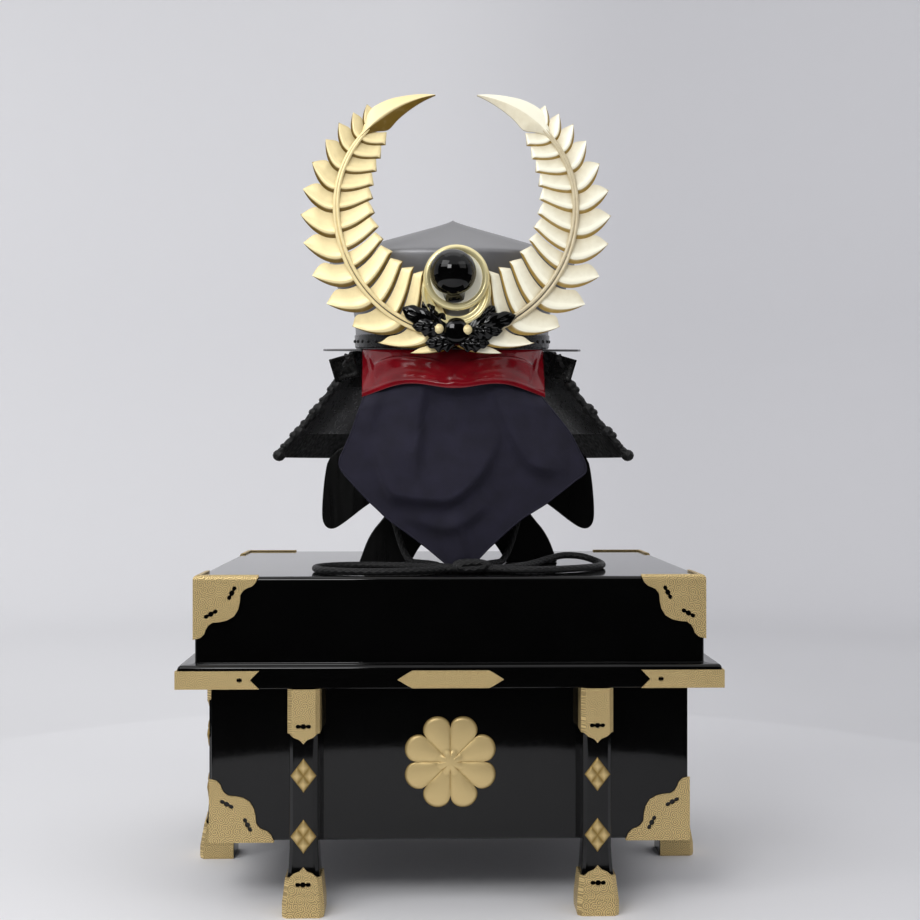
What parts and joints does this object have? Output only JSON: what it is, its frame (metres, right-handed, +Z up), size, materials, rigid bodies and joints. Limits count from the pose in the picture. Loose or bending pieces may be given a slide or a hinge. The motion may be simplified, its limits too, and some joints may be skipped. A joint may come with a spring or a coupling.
{
  "type": "kabuto samurai helmet on a stand and a six-legged storage chest",
  "caption": "Samurai helmet with a fern crest, red visor, flared neck guard and chin cord, on a wooden stand on a black lacquered chest with gilt fittings.",
  "frame": {"origin": "centre of the floor area under the chest, where its feet stand", "axes": "+Z up, +X to the right seen from the front, +Y from the front of the helmet to its back"},
  "size_m": [0.5314, 0.4394, 0.7835],
  "materials": {
    "lacquer": "black urushi lacquer on wood, polished",
    "gilt": "gilt copper sheet, etched, satin",
    "stand_wood": "black painted wood, satin",
    "bowl_iron": "dark lacquered iron, satin",
    "red_lacquer": "red urushi lacquer on iron, polished",
    "plate_lacquer": "black lacquered iron plates, gloss",
    "turnback_lacquer": "black lacquered leather over iron",
    "fern_pale": "gilt copper, embossed, bright",
    "fern_gilt": "gilt copper, embossed",
    "crest_black": "black lacquered wood, polished",
    "cloth": "dark navy cotton",
    "cord": "black braided silk cord"
  },
  "bodies": {
    "root": {"chest_lid": "lacquer", "chest_body": "lacquer", "leg_front_left": "lacquer", "leg_front_right": "lacquer", "leg_side_right": "lacquer", "leg_back_right": "lacquer", "leg_back_left": "lacquer", "leg_side_left": "lacquer", "leg_cap_front_left": "gilt", "leg_cap_front_right": "gilt", "leg_cap_side_right": "gilt", "leg_cap_back_right": "gilt", "leg_cap_back_left": "gilt", "leg_cap_side_left": "gilt", "foot_cap_front_left": "gilt", "foot_cap_front_right": "gilt", "foot_cap_side_right": "gilt", "foot_cap_back_right": "gilt", "foot_cap_back_left": "gilt", "foot_cap_side_left": "gilt", "lid_corner_front_right": "gilt", "lid_corner_front_left": "gilt", "lid_corner_back_right": "gilt", "lid_corner_back_left": "gilt", "body_corner_front_right": "gilt", "body_corner_front_left": "gilt", "body_corner_back_right": "gilt", "body_corner_back_left": "gilt", "ledge_corner_front_right": "gilt", "ledge_corner_front_left": "gilt", "ledge_corner_back_right": "gilt", "ledge_corner_back_left": "gilt", "ledge_plate_front": "gilt", "ledge_plate_back": "gilt", "front_rosette": "gilt", "stand_front_board": "stand_wood", "stand_side_board": "stand_wood", "helmet_bowl": "bowl_iron", "bowl_flange": "bowl_iron", "crest_holder": "bowl_iron", "visor": "red_lacquer", "neck_lame_1": "plate_lacquer", "neck_lame_2": "plate_lacquer", "neck_lame_3": "plate_lacquer", "neck_lame_4": "plate_lacquer", "turnback_right": "turnback_lacquer", "turnback_left": "turnback_lacquer", "fern_right": "fern_pale", "fern_left": "fern_gilt", "crest_cup": "fern_gilt", "crest_ball": "crest_black", "crest_leaves": "crest_black", "kerchief": "cloth", "cord_drop_left": "cord", "cord_drop_right": "cord", "cord_loop_left": "cord", "cord_loop_right": "cord", "cord_knot": "cord"}
  },
  "joints": []
}
